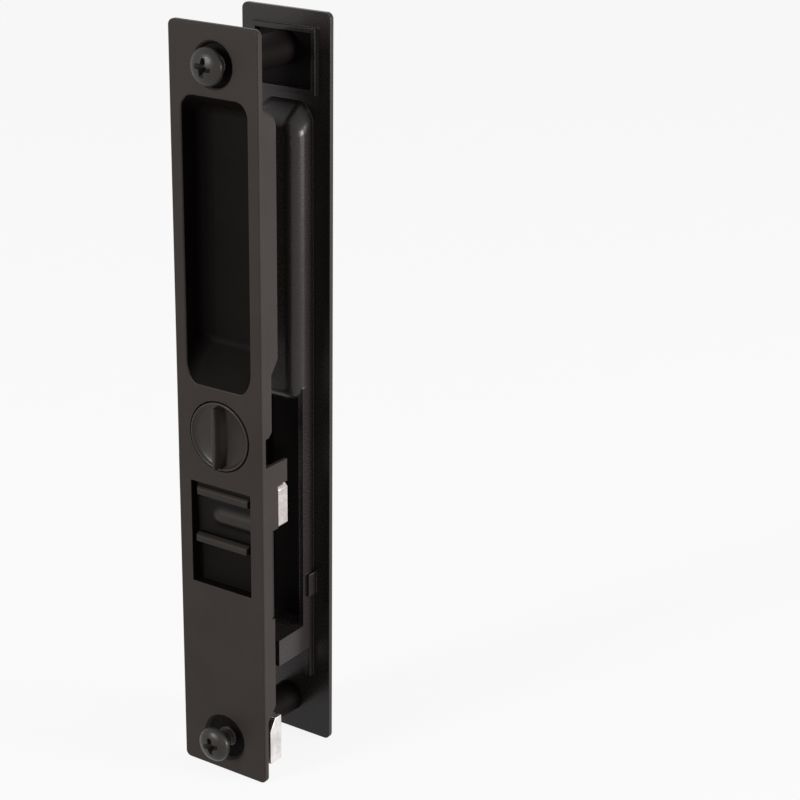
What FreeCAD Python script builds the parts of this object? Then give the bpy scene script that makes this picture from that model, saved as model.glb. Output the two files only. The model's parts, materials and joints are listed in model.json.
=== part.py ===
# A flush sliding patio door handle: an inside plate with a finger cup, a thumb turn and a latch slider,
# and an outside plate with its own pull, clamped to the door by two long screws.
# X is across the plates, Y runs from the room to the garden, Z is up, all in millimetres. The origin is
# the middle of the door stile that the plates clamp, halfway between the two screws.
import FreeCAD, Part
import os
import re
import Sketcher
from FreeCAD import Vector

# Driving dimensions, each with the name of its cell
SIZES = {
    # both plates
    "plate_width": 25.2,
    "plate_end": 9.1,
    "plate_thickness": 1.5,
    "plate_corner": 1.5,
    "edge_round": 0.4,
    "clamp_gap": 25.4,
    "screw_spacing": 168.3,
    "cut_over": 1.0,
    # finger cup of the inside plate
    "cup_half_width": 9.3,
    "cup_bottom": 8.0,
    "cup_top_drop": 7.25,
    "cup_depth": 7.0,
    "cup_wall": 1.5,
    "cup_bottom_run": 9.2,
    "cup_top_run": 4.0,
    "cup_corner": 3.2,
    "cup_floor_round": 3.0,
    "cup_rim_round": 0.5,
    "cup_end_round": 3.5,
    "cup_back_round": 1.2,
    # case behind the inside plate
    "case_margin": 1.1,
    "case_wall": 1.5,
    "case_bottom_rise": 6.85,
    "case_end_slope": 3.1,
    "case_end_height": 1.7,
    "rail_play": 0.2,
    "rail_bottom": -27.0,
    "cheek_top": -10.1,
    "cheek_bottom": -15.9,
    "cheek_wall": 1.0,
    "cheek_back": -3.0,
    "rib_top": 12.5,
    "rib_bottom": -2.8,
    "rib_height": 3.8,
    "rib_end": 1.2,
    "pocket_depth": 2.8,
    "floor_thickness": 0.9,
    "pocket_wall": 1.2,
    # window of the slider
    "window_half_width": 8.9,
    "window_top": -16.8,
    "window_spare": 1.6,
    # screw seats and the two clamping screws
    "top_seat_radius": 5.6,
    "bottom_seat_radius": 6.2,
    "seat_depth": 1.1,
    "seat_draft": 35.0,
    "screw_radius": 2.38,
    "screw_hole_clearance": 0.32,
    "thread_clearance": 0.03,
    "thread_spare": 0.2,
    "screw_tip_room": 1.6,
    "screw_head_radius": 4.4,
    "screw_head_height": 2.6,
    "screw_head_round": 1.7,
    "cross_length": 5.0,
    "cross_width": 1.1,
    "cross_depth": 1.6,
    "cross_core": 1.0,
    "cross_core_depth": 2.0,
    "screw_tip": 0.6,
    "top_standoff": 1.3,
    "bottom_standoff": 3.4,
    "small_head_round": 0.6,
    "small_slot_width": 0.8,
    "small_slot_depth": 0.7,
    # thumb turn
    "turn_height": -3.8,
    "turn_radius": 8.5,
    "turn_clearance": 0.3,
    "turn_rim_proud": 0.25,
    "turn_rim_width": 0.7,
    "turn_dish_depth": 0.8,
    "turn_dish_draft": 20.0,
    "turn_boss_wall": 1.8,
    "turn_shaft_radius": 3.0,
    "turn_shaft_clearance": 0.06,
    "grip_proud": 2.5,
    "grip_sink": 0.1,
    "grip_top_middle": 0.55,
    "grip_top_end": 0.4,
    "grip_top_length": 7.8,
    "grip_base_middle": 1.9,
    "grip_base_end": 0.7,
    "grip_base_length": 8.1,
    "grip_bevel": 0.2,
    "turn_washer_thickness": 0.3,
    "turn_washer_play": 0.03,
    "turn_washer_radius": 7.4,
    "turn_square": 4.0,
    "square_clearance": 0.03,
    "square_play": 0.05,
    # lock cam behind the thumb turn
    "cam_radius": 6.0,
    "cam_flat": 3.9,
    "cam_clearance": 0.3,
    "cam_washer_radius": 3.6,
    "cam_washer_thickness": 0.5,
    "washer_clearance": 0.15,
    "cam_screw_radius": 1.25,
    "cam_screw_head_radius": 3.0,
    "cam_screw_head_height": 1.6,
    "cam_screw_depth": 2.6,
    # latch slider and its plate
    "slider_travel": 8.0,
    "slider_clearance": 0.3,
    "slider_length": 16.3,
    "slider_gap": 0.1,
    "slider_lip": 1.2,
    "upper_rib_inset": 0.5,
    "lower_rib_proud": 0.1,
    "upper_rib_margin": 1.7,
    "lower_rib_margin": 0.8,
    "rib_width": 1.8,
    "rib_slope": 0.6,
    "rib_side_inset": 0.9,
    "rib_round": 0.3,
    "groove_depth": 1.6,
    "groove_drop": 0.9,
    "swell_depth": 0.9,
    "swell_drop": 6.2,
    "pan_depth": 1.9,
    "pan_drop": 9.6,
    "neck_half_width": 4.2,
    "neck_length": 7.0,
    "neck_setback": 1.4,
    "slide_play": 0.1,
    "slide_thickness": 1.0,
    "slide_side_gap": 0.3,
    "slide_bottom": -31.0,
    "arm_top": 9.2,
    "arm_side_gap": 0.2,
    "arm_round": 1.2,
    "notch_width": 1.8,
    "notch_depth": 1.0,
    "notch_over": 0.1,
    "notch_height": -27.0,
    "stud_radius": 1.2,
    "stud_spacing": 5.0,
    "stud_clearance": 0.03,
    "stud_proud": 0.1,
    # drive pin between the slide plate and the hook
    "pin_radius": 1.5,
    "pin_foot_radius": 1.0,
    "pin_lead": 0.3,
    "pin_short": 0.3,
    "pin_margin": 0.7,
    # cover that closes the case
    "cover_play": 0.2,
    "cover_thickness": 1.0,
    "cover_top": -10.6,
    "cover_bottom": -50.0,
    "cover_side_play": 0.1,
    "cover_edge": 0.3,
    "cover_boss_radius": 1.9,
    "cover_boss_inset": 2.6,
    "cover_boss_high": -13.5,
    "cover_boss_low": -47.0,
    "cover_screw_radius": 0.95,
    "cover_screw_clearance": 0.15,
    "cover_screw_head_radius": 1.9,
    "cover_screw_head_height": 1.1,
    "cover_screw_depth": 4.2,
    # hook, its pivot and its spring
    "spring_side_gap": 0.44,
    "pivot_height": -21.85,
    "spring_room": 1.7,
    "hook_thickness": 3.6,
    "hook_half_width": 5.5,
    "hook_rear": 6.0,
    "hook_rear_chamfer": 0.9,
    "hook_reach": 24.5,
    "hook_beak": 9.35,
    "hook_beak_width": 4.6,
    "hook_beak_chamfer": 1.2,
    "hook_tip_round": 1.0,
    "hook_tip_drop": 2.4,
    "hook_throat": 3.4,
    "hook_throat_depth": 3.0,
    "hook_throat_round": 1.36,
    "hook_nose_chamfer": 3.2,
    "hook_tab_width": 4.0,
    "hook_tab_drop": 2.0,
    "hook_hole_radius": 3.5,
    "journal_clearance": 0.05,
    "journal_proud": 0.15,
    "drum_radius": 3.2,
    "drum_short": 0.1,
    "rivet_radius": 1.6,
    "rivet_play": 0.05,
    "spring_gap": 0.2,
    "spring_wire": 0.33,
    "spring_pitch": 0.68,
    "spring_turns": 1.25,
    "spring_leg": 3.0,
    "spring_play": 0.05,
    "hook_washer_radius": 5.0,
    "hook_washer_thickness": 0.8,
    "hook_screw_radius": 1.25,
    "hook_screw_head_radius": 2.9,
    "hook_screw_head_height": 1.7,
    "hook_screw_depth": 4.6,
    # detent leaf of the slide plate
    "leaf_thickness": 0.4,
    "leaf_gap": 0.4,
    "leaf_play": 0.1,
    "leaf_start_drop": 2.0,
    "leaf_end_rise": 1.5,
    # spacer block on the lower screw
    "spacer_front": 2.9,
    "spacer_depth": 4.4,
    "spacer_half_width": 11.0,
    "spacer_height": 12.1,
    "spacer_bore_clearance": 0.12,
    "spacer_slope_depth": 2.0,
    "spacer_slope_height": 3.0,
    # outside plate
    "pull_half_width": 6.3,
    "pull_wall": 1.4,
    "pull_bottom": -1.5,
    "pull_top_drop": 12.65,
    "pull_depth": 6.6,
    "pull_bottom_run": 3.0,
    "pull_top_run": 4.5,
    "pull_corner": 3.0,
    "pull_floor_round": 2.4,
    "pull_rim_round": 0.5,
    "frame_height": 4.2,
    "frame_wall": 1.4,
    "frame_lap": 4.5,
    "shelf_rise": 16.65,
    "shelf_height": 7.1,
    "shelf_reach": 14.4,
    "shelf_wall": 1.6,
    "foot_rise": 8.35,
    "foot_height": 1.5,
    "pad_rise": 10.9,
    "pad_length": 6.0,
    "pad_thickness": 1.0,
    "rim_half_width": 9.1,
    "rim_below": 10.15,
    "rim_above": 5.25,
    "rim_height": 1.2,
    "rim_wall": 1.2,
    "post_radius": 4.0,
    "post_gap": 1.2,
    "post_floor": 1.2,
}

CLOSE = 0.05  # how near an edge lies to the place that names it

doc = FreeCAD.newDocument("patio_door_handle")
sheet = doc.addObject("Spreadsheet::Sheet", "Sizes")
for row, (alias, size) in enumerate(SIZES.items(), start=1):
    sheet.set("A%d" % row, alias)
    sheet.set("B%d" % row, str(size))
    sheet.setAlias("B%d" % row, alias)
doc.recompute()
parts = []


# Expressions and values

def bound(text):
    # Writes an expression with each size named by its cell.
    return re.sub(r"[a-z]\w*", lambda word: ("Sizes." if word.group() in SIZES else "") + word.group(), text)


def value(text):
    # The number that an expression gives now.
    return float(sheet.evalExpression(bound(text)))


# Planes of the stack from the room to the garden, each as an expression
FACE = "(-clamp_gap/2-plate_thickness)"
INNER = "(-clamp_gap/2)"
POCKET = "(%s+pocket_depth)" % FACE
FLOOR = "(%s+floor_thickness)" % POCKET
SLIDE = "(%s+slide_play)" % FLOOR
SLIDE_BACK = "(%s+slide_thickness)" % SLIDE
COVER = "(%s+cover_play)" % SLIDE_BACK
COVER_BACK = "(%s+cover_thickness)" % COVER
HOOK = "(%s+spring_room)" % COVER_BACK
HOOK_BACK = "(%s+hook_thickness)" % HOOK
OUTER = "(clamp_gap/2)"
OUTER_FACE = "(clamp_gap/2+plate_thickness)"

# Places across and up that more than one piece uses
TOP_SCREW = "(screw_spacing/2)"
BOTTOM_SCREW = "(-screw_spacing/2)"
CASE_HALF = "(plate_width/2-case_margin)"
CASE_INNER = "(%s-case_wall)" % CASE_HALF
WINDOW_BOTTOM = "(window_top-slider_length-slider_travel-2*slider_clearance-window_spare)"
BOSS_SIDE = "(%s-cover_boss_inset)" % CASE_INNER
SLIDE_RIGHT = "(%s-cover_boss_radius-slide_side_gap)" % BOSS_SIDE
PIVOT_SIDE = "(%s-spring_side_gap-2*spring_wire-spring_gap-drum_radius)" % CASE_INNER
PIN_SIDE = "(%s-(hook_half_width+pin_radius+pin_lead))" % PIVOT_SIDE
PIN_HEIGHT = "(pivot_height+hook_half_width+pin_lead+pin_radius)"


# Building tools

def new_body(label, place=("0", "0", "0")):
    # A body with its own label, placed by three expressions.
    body = doc.addObject("PartDesign::Body", label)
    body.Label = label
    for axis, text in zip("xyz", place):
        body.setExpression("Placement.Base." + axis, bound(text))
    parts.append(body)
    return body


def origin_part(body, role):
    # A plane or axis of the body's own origin, found by its role.
    return [part for part in body.Origin.OriginFeatures if part.Role == role][0]


def pin_size(sketch, kind, *where_and_text):
    # Adds one size to a sketch and ties it to its expression.
    *where, text = where_and_text
    index = sketch.addConstraint(Sketcher.Constraint(kind, *where, value(text)))
    sketch.setExpression("Constraints[%d]" % index, bound(text))


def draw(body, name, plane, shape, offset="0"):
    # A sketch of one closed outline: corner points, or a circle as (across, up, radius).
    sketch = body.newObject("Sketcher::SketchObject", name)
    sketch.AttachmentSupport = [(origin_part(body, plane + "_Plane"), "")]
    sketch.MapMode = "FlatFace"
    sketch.setExpression("AttachmentOffset.Base.z", bound(offset))
    if isinstance(shape, tuple):
        across, up, radius = shape
        middle = Vector(value(across), value(up), 0)
        sketch.addGeometry(Part.Circle(middle, Vector(0, 0, 1), value(radius)), False)
        pin_size(sketch, "DistanceX", -1, 1, 0, 3, across)
        pin_size(sketch, "DistanceY", -1, 1, 0, 3, up)
        pin_size(sketch, "Radius", 0, radius)
        return sketch
    corners = [Vector(value(across), value(up), 0) for across, up in shape]
    count = len(corners)
    for index in range(count):
        sketch.addGeometry(Part.LineSegment(corners[index], corners[(index + 1) % count]), False)
    for index in range(count):
        sketch.addConstraint(Sketcher.Constraint("Coincident", index, 2, (index + 1) % count, 1))
    for index, (across, up) in enumerate(shape):
        pin_size(sketch, "DistanceX", -1, 1, index, 1, across)
        pin_size(sketch, "DistanceY", -1, 1, index, 1, up)
    return sketch


def prism(body, name, plane, shape, low, high, cut=False, draft=None):
    # Pads or cuts an outline square to its plane, from low to high along the third axis.
    # The XZ plane faces -Y, so its sketch stands at the far end of a pad and the near end of a cut.
    backward = plane == "XZ"
    start = high if cut != backward else low
    offset = "-(%s)" % start if backward else start
    before = body.Shape.Volume if cut else 0
    feature = body.newObject("PartDesign::Pocket" if cut else "PartDesign::Pad", name)
    feature.Profile = draw(body, name + "_outline", plane, shape, offset)
    feature.setExpression("Length", bound("(%s)-(%s)" % (high, low)))
    if draft:
        feature.setExpression("TaperAngle", bound(draft))
    body.Tip = feature
    doc.recompute()
    if cut and body.Shape.Volume >= before:
        raise RuntimeError(name + " cuts nothing")
    return feature


def loft(body, name, *outlines):
    # Joins outlines with as many corners each, given as (place along Y, corners), by flat sides.
    sketches = [draw(body, "%s_outline_%d" % (name, index), "XZ", shape, "-(%s)" % place)
                for index, (place, shape) in enumerate(outlines)]
    feature = body.newObject("PartDesign::AdditiveLoft", name)
    feature.Profile = sketches[0]
    feature.Sections = sketches[1:]
    feature.Ruled = True
    body.Tip = feature
    doc.recompute()
    return feature


def box_outline(left, right, bottom, top):
    return [(left, bottom), (right, bottom), (right, top), (left, top)]


def lies(edge, **where):
    # True where the whole edge keeps to a coordinate, or to a stretch of it given as (low, high).
    box = edge.BoundBox
    for axis, want in where.items():
        first, last = want if isinstance(want, tuple) else (want, want)
        if getattr(box, axis.upper() + "Min") < first - CLOSE:
            return False
        if getattr(box, axis.upper() + "Max") > last + CLOSE:
            return False
    return True


def runs_back(edge):
    # True where an edge runs from the room towards the garden, upright or sloped.
    return edge.BoundBox.YLength > CLOSE


def soften(body, name, size, wanted, chamfer=False):
    # Rounds or chamfers the edges that the test picks.
    base = body.Tip
    names = ["Edge%d" % number for number, edge in enumerate(base.Shape.Edges, 1) if wanted(edge)]
    if not names:
        raise RuntimeError(name + " finds no edge")
    feature = body.newObject("PartDesign::Chamfer" if chamfer else "PartDesign::Fillet", name)
    feature.Base = (base, names)
    feature.setExpression("Size" if chamfer else "Radius", bound(size))
    body.Tip = feature
    doc.recompute()
    if feature.Shape.isNull() or not feature.Shape.isValid():
        raise RuntimeError(name + " fails")
    return feature


# Shared shapes of the two castings

def flange(body, near, far, face):
    # The flat plate with round corners and a soft edge round its face.
    half, top, bottom = "plate_width/2", TOP_SCREW + "+plate_end", BOTTOM_SCREW + "-plate_end"
    prism(body, "flange", "XZ", box_outline("-" + half, half, bottom, top), near, far)
    side, end = value(half), value(top)
    soften(body, "flange_corners", "plate_corner",
           lambda edge: any(lies(edge, x=a * side, z=b * end) for a in (-1, 1) for b in (-1, 1)))
    level = value(face)
    soften(body, "flange_edge", "edge_round", lambda edge: lies(edge, y=level))


def sloped(start, run, depth, at):
    # Height of a sloped cup end, at a depth below the face.
    return "(%s+%s/%s*(%s))" % (start, run, depth, at)


def slant(wall, run, depth):
    # The upright thickness of a wall that slopes.
    return "%s*sqrt(1+(%s/%s)^2)" % (wall, run, depth)


# The inside plate

def inside_plate():
    body = new_body("inside_plate")
    flange(body, FACE, INNER, FACE)

    # Tub of the finger cup, seen from behind
    low_wall = slant("cup_wall", "cup_bottom_run", "cup_depth")
    high_wall = slant("cup_wall", "cup_top_run", "cup_depth")
    shell_start, shell_end = "(plate_thickness/2)", "(cup_depth+cup_wall)"

    def low(at):
        return sloped("cup_bottom", "cup_bottom_run", "cup_depth", at)

    def high(at):
        return sloped("%s-cup_top_drop" % TOP_SCREW, "(-cup_top_run)", "cup_depth", at)

    shell = [(FACE + "+" + at, low(at) + "-" + low_wall) for at in (shell_start, shell_end)]
    shell += [(FACE + "+" + at, high(at) + "+" + high_wall) for at in (shell_end, shell_start)]
    prism(body, "cup_shell", "YZ", shell, "-" + CASE_HALF, CASE_HALF)
    side, back, middle = value(CASE_HALF), value(FACE + "+" + shell_end), value(TOP_SCREW + "/2")
    behind = (value(FACE), back)
    soften(body, "cup_shoulders", "cup_end_round",
           lambda edge: any(lies(edge, x=a * side, y=behind) for a in (-1, 1))
           and runs_back(edge) and edge.BoundBox.ZMin > middle)
    soften(body, "cup_back_edge", "cup_back_round", lambda edge: lies(edge, y=back))

    # Rails, cheeks and ribs along both sides of the case
    rail_back, case_bottom = HOOK + "-rail_play", BOTTOM_SCREW + "+case_bottom_rise"
    rail = [(INNER, "cheek_bottom"), (rail_back, "cheek_bottom"), (rail_back, "rail_bottom"),
            (COVER, "rail_bottom"), (COVER, "cover_bottom-cover_edge"),
            (COVER_BACK, "cover_bottom-cover_edge"),
            (COVER_BACK, case_bottom + "+case_end_slope"), (INNER + "+case_end_height", case_bottom),
            (INNER, case_bottom)]
    cheek = box_outline(INNER, "cheek_back", "cheek_bottom", "cheek_top")
    rib = [(INNER, "rib_bottom"), (INNER + "+rib_height-rib_end", "rib_bottom"),
           (INNER + "+rib_height", "rib_bottom+rib_end"), (INNER + "+rib_height", "rib_top"),
           (INNER, "rib_top")]
    for hand, sign in (("left", "-"), ("right", "")):
        for name, outline, wall in (("rail", rail, "case_wall"), ("cheek", cheek, "cheek_wall"),
                                    ("rib", rib, "case_wall")):
            ends = [sign + CASE_HALF, sign + "(%s-%s)" % (CASE_HALF, wall)]
            low_end, high_end = ends if sign else reversed(ends)
            prism(body, "%s_%s" % (hand, name), "YZ", outline, low_end, high_end)

    # Boss of the thumb turn, box of the window and bosses of the cover screws
    turn_bore = "turn_radius+turn_clearance"
    prism(body, "turn_boss", "XZ", ("0", "turn_height", turn_bore + "+turn_boss_wall"), INNER, FLOOR)
    window = box_outline("-(window_half_width+pocket_wall)", "window_half_width+pocket_wall",
                         WINDOW_BOTTOM + "-pocket_wall", "window_top+pocket_wall")
    prism(body, "window_box", "XZ", window, INNER, FLOOR)
    for name, across, up in cover_screw_places():
        prism(body, name + "_boss", "XZ", (across, up, "cover_boss_radius"), INNER, COVER)

    # The finger cup itself
    cup = [(FACE + "-cut_over", low("-cut_over")), (FACE + "+cup_depth", low("cup_depth")),
           (FACE + "+cup_depth", high("cup_depth")), (FACE + "-cut_over", high("-cut_over"))]
    prism(body, "cup", "YZ", cup, "-cup_half_width", "cup_half_width", cut=True)
    inner, face, floor = value("cup_half_width"), value(FACE), value(FACE + "+cup_depth")
    soften(body, "cup_corners", "cup_corner",
           lambda edge: any(lies(edge, x=a * inner, y=(face, floor)) for a in (-1, 1)) and runs_back(edge))
    soften(body, "cup_floor", "cup_floor_round", lambda edge: lies(edge, y=floor))
    soften(body, "cup_rim", "cup_rim_round", lambda edge: lies(edge, y=face, x=(-inner, inner)))

    # Seat of the thumb turn, pocket and slot of the slider
    prism(body, "turn_seat", "XZ", ("0", "turn_height", turn_bore), FACE, POCKET, cut=True)
    prism(body, "turn_hole", "XZ", ("0", "turn_height", "turn_shaft_radius+turn_shaft_clearance"),
          POCKET, FLOOR, cut=True)
    prism(body, "window", "XZ", box_outline("-window_half_width", "window_half_width",
                                            WINDOW_BOTTOM, "window_top"), FACE, POCKET, cut=True)
    slot_half = "(neck_half_width+slider_clearance)"
    prism(body, "slot", "XZ", box_outline("-" + slot_half, slot_half,
                                          NECK_BOTTOM + "-slider_travel-slider_clearance",
                                          NECK_TOP + "+slider_clearance"), POCKET, FLOOR, cut=True)

    # Screw seats and screw holes
    for name, height in (("top", TOP_SCREW), ("bottom", BOTTOM_SCREW)):
        prism(body, name + "_seat", "XZ", ("0", height, name + "_seat_radius"), FACE, FACE + "+seat_depth",
              cut=True, draft="-seat_draft")
        prism(body, name + "_hole", "XZ", ("0", height, "screw_radius+screw_hole_clearance"),
              FACE, INNER, cut=True)
    for name, across, up in cover_screw_places():
        prism(body, name + "_thread", "XZ", (across, up, "cover_screw_radius+thread_clearance"),
              COVER + "-cover_screw_depth", COVER, cut=True)
    return body


def cover_screw_places():
    return (("high_cover_screw", BOSS_SIDE, "cover_boss_high"),
            ("right_cover_screw", BOSS_SIDE, "cover_boss_low"),
            ("left_cover_screw", "-" + BOSS_SIDE, "cover_boss_low"))


# The outside plate

def outside_plate():
    body = new_body("outside_plate")
    flange(body, OUTER, OUTER_FACE, OUTER_FACE)

    # Tub of the outside pull, which bulges into the door
    low_wall = slant("pull_wall", "pull_bottom_run", "pull_depth")
    high_wall = slant("pull_wall", "pull_top_run", "pull_depth")
    shell_start, shell_end = "(plate_thickness/2)", "(pull_depth+pull_wall)"

    def low(at):
        return sloped("pull_bottom", "pull_bottom_run", "pull_depth", at)

    def high(at):
        return sloped("%s-pull_top_drop" % TOP_SCREW, "(-pull_top_run)", "pull_depth", at)

    half = "(pull_half_width+pull_wall)"
    shell = [(OUTER_FACE + "-" + at, low(at) + "-" + low_wall) for at in (shell_start, shell_end)]
    shell += [(OUTER_FACE + "-" + at, high(at) + "+" + high_wall) for at in (shell_end, shell_start)]
    prism(body, "pull_shell", "YZ", shell, "-" + half, half)

    # The finger pull, open to the garden, then the tub's own rounding
    cup = [(OUTER_FACE + "+cut_over", low("-cut_over")), (OUTER_FACE + "-pull_depth", low("pull_depth")),
           (OUTER_FACE + "-pull_depth", high("pull_depth")), (OUTER_FACE + "+cut_over", high("-cut_over"))]
    prism(body, "pull", "YZ", cup, "-pull_half_width", "pull_half_width", cut=True)
    inner, floor, face = value("pull_half_width"), value(OUTER_FACE + "-pull_depth"), value(OUTER_FACE)
    soften(body, "pull_corners", "pull_corner",
           lambda edge: any(lies(edge, x=a * inner, y=(floor, face)) for a in (-1, 1)) and runs_back(edge))
    soften(body, "pull_floor", "pull_floor_round", lambda edge: lies(edge, y=floor))
    soften(body, "pull_rim", "pull_rim_round", lambda edge: lies(edge, y=face, x=(-inner, inner)))
    side, front = value(half), value(OUTER_FACE + "-" + shell_end)
    soften(body, "pull_shoulders", "pull_corner+pull_wall",
           lambda edge: any(lies(edge, x=a * side, y=(front, face)) for a in (-1, 1)) and runs_back(edge))
    soften(body, "pull_front_edge", "pull_floor_round+pull_wall", lambda edge: lies(edge, y=front))

    # Frame below the pull, closed at the bottom by the deep shelf
    inner_half = "(%s-frame_wall)" % half
    frame_front = OUTER + "-frame_height"
    shelf_bottom = BOTTOM_SCREW + "+shelf_rise"
    shelf_top = shelf_bottom + "+shelf_height"
    for name, low_end, high_end in (("left", "-" + half, "-" + inner_half), ("right", inner_half, half)):
        prism(body, name + "_frame", "XZ",
              box_outline(low_end, high_end, shelf_bottom, "pull_bottom+frame_lap"), frame_front, OUTER)
        prism(body, name + "_foot", "XZ",
              box_outline(low_end, high_end, BOTTOM_SCREW + "+foot_rise", shelf_bottom),
              OUTER + "-foot_height", OUTER)
    pad_middle = shelf_top + "+pad_rise"
    pad = box_outline(half, half + "+pad_thickness",
                      pad_middle + "-pad_length/2", pad_middle + "+pad_length/2")
    prism(body, "side_pad", "XZ", pad, frame_front + "+pad_thickness", OUTER)
    shelf_front = OUTER + "-shelf_reach"
    prism(body, "shelf", "XZ", box_outline("-" + half, half, shelf_bottom, shelf_top), shelf_front, OUTER)
    hollow = box_outline("-(%s-shelf_wall)" % half, half + "-shelf_wall",
                         shelf_bottom + "+shelf_wall", shelf_top + "-shelf_wall")
    prism(body, "shelf_hollow", "XZ", hollow, shelf_front, OUTER + "-shelf_wall", cut=True)

    # Rim round the upper post, and the two screw posts
    rim_bottom, rim_top = TOP_SCREW + "-rim_below", TOP_SCREW + "+rim_above"
    rim = box_outline("-rim_half_width", "rim_half_width", rim_bottom, rim_top)
    prism(body, "rim", "XZ", rim, OUTER + "-rim_height", OUTER)
    inside = box_outline("-(rim_half_width-rim_wall)", "rim_half_width-rim_wall",
                         rim_bottom + "+rim_wall", rim_top + "-rim_wall")
    prism(body, "rim_inside", "XZ", inside, OUTER + "-rim_height", OUTER, cut=True)
    post_front = INNER + "+spacer_front+spacer_depth+post_gap"
    for name, height in (("top", TOP_SCREW), ("bottom", BOTTOM_SCREW)):
        prism(body, name + "_post", "XZ", ("0", height, "post_radius"), post_front, OUTER)
        prism(body, name + "_thread", "XZ", ("0", height, "screw_radius+thread_clearance"),
              post_front, OUTER + "-post_floor", cut=True)
    return body


# Screws: head at the origin plane, shank towards +Y

def clamp_screw(label, height, standoff):
    # A pan screw with a cross recess: two crossed slots and a round middle.
    body = new_body(label, ("0", FACE + "-" + standoff, height))
    head = "-screw_head_height"
    length = "(clamp_gap+plate_thickness+top_standoff-post_floor-screw_tip_room)"
    prism(body, "head", "XZ", ("0", "0", "screw_head_radius"), head, "0")
    top, end = value(head), value(length)
    soften(body, "dome", "screw_head_round", lambda edge: lies(edge, y=top))
    prism(body, "shank", "XZ", ("0", "0", "screw_radius"), "0", length)
    soften(body, "tip", "screw_tip", lambda edge: lies(edge, y=end), chamfer=True)
    for name, across, up in (("stroke", "cross_width", "cross_length"),
                             ("bar", "cross_length", "cross_width")):
        prism(body, name, "XZ", box_outline("-%s/2" % across, "%s/2" % across, "-%s/2" % up, "%s/2" % up),
              head, head + "+cross_depth", cut=True)
    prism(body, "core", "XZ", ("0", "0", "cross_core"), head, head + "+cross_core_depth", cut=True)
    return body


def small_screw(label, place, head_radius, head_height, radius, length):
    # A small pan screw whose shank points back to the room, with one straight slot in its head.
    body = new_body(label, place)
    prism(body, "head", "XZ", ("0", "0", head_radius), "0", head_height)
    top = value(head_height)
    soften(body, "dome", "small_head_round", lambda edge: lies(edge, y=top))
    prism(body, "shank", "XZ", ("0", "0", radius), "-(%s)" % length, "0")
    prism(body, "groove", "XZ", box_outline("-%s-cut_over" % head_radius, head_radius + "+cut_over",
                                            "-small_slot_width/2", "small_slot_width/2"),
          head_height + "-small_slot_depth", head_height + "+cut_over", cut=True)
    return body


# Thumb turn, which turns about its shaft

TURN_BACK = "(%s-turn_washer_thickness-turn_washer_play)" % POCKET

# The grip's swell from its bottom to its top: (share of the half length, share of the swell)
GRIP_SWELL = ((-1, 0), (-0.7, 0.6), (-0.3, 1), (0.3, 1), (0.7, 0.6), (1, 0))


def grip_outline(level):
    # The grip seen from the room at one level, wide in the middle and narrow at both ends.
    middle, end, length = ("grip_%s_%s" % (level, part) for part in ("middle", "end", "length"))
    right = [("%s+(%s-%s)*%s" % (end, middle, end, swell), "%s*(%s)" % (length, share))
             for share, swell in GRIP_SWELL]
    return right + [("-(%s)" % across, up) for across, up in reversed(right)]


def thumb_turn():
    body = new_body("thumb_turn", ("0", "0", "turn_height"))
    rim_face = "(%s-turn_rim_proud)" % FACE
    dish = "(%s+turn_dish_depth)" % FACE
    prism(body, "disc", "XZ", ("0", "0", "turn_radius"), rim_face, TURN_BACK)
    prism(body, "dish", "XZ", ("0", "0", "turn_radius-turn_rim_width"), rim_face, dish,
          cut=True, draft="-turn_dish_draft")
    front = value(rim_face)
    soften(body, "rim_edge", "turn_rim_proud", lambda edge: lies(edge, y=front))
    grip_front = FACE + "-grip_proud"
    loft(body, "grip", (dish + "+grip_sink", grip_outline("base")), (grip_front, grip_outline("top")))
    crest = value(grip_front)
    soften(body, "grip_edge", "grip_bevel", lambda edge: lies(edge, y=crest), chamfer=True)
    square_front, square_back = SLIDE + "-square_play", SLIDE_BACK + "-square_play"
    prism(body, "shaft", "XZ", ("0", "0", "turn_shaft_radius"), TURN_BACK, square_front)
    square = box_outline("-turn_square/2", "turn_square/2", "-turn_square/2", "turn_square/2")
    prism(body, "square", "XZ", square, square_front, square_back)
    prism(body, "thread", "XZ", ("0", "0", "cam_screw_radius+thread_clearance"),
          SLIDE_BACK + "-cam_screw_depth-thread_spare", SLIDE_BACK, cut=True)
    return body


def ring(label, place, outer, inner, near, far):
    # A flat washer between two planes.
    body = new_body(label, place)
    prism(body, "disc", "XZ", ("0", "0", outer), near, far)
    prism(body, "hole", "XZ", ("0", "0", inner), near, far, cut=True)
    return body


def lock_cam():
    # A disc with one flat: the flat lets the slide plate pass, the round side holds it.
    body = new_body("lock_cam", ("0", "0", "turn_height"))
    prism(body, "disc", "XZ", ("0", "0", "cam_radius"), SLIDE, SLIDE_BACK)
    beyond = "(cam_radius+cut_over)"
    flat = box_outline("-" + beyond, "-cam_flat", "-" + beyond, beyond)
    prism(body, "flat", "XZ", flat, SLIDE, SLIDE_BACK, cut=True)
    side = "(turn_square/2+square_clearance)"
    prism(body, "square", "XZ", box_outline("-" + side, side, "-" + side, side), SLIDE, SLIDE_BACK, cut=True)
    return body


# Latch slider in the window, and the slide plate that it carries behind the case floor

SLIDER_TOP = "(window_top-slider_clearance)"
SLIDER_BOTTOM = "(window_top-slider_clearance-slider_length)"
NECK_TOP = "(window_top-slider_clearance-neck_setback)"
NECK_BOTTOM = "(window_top-slider_clearance-neck_setback-neck_length)"


def stud_heights():
    middle = "(%s-neck_length/2)" % NECK_TOP
    return middle + "+stud_spacing/2", middle + "-stud_spacing/2"


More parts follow.
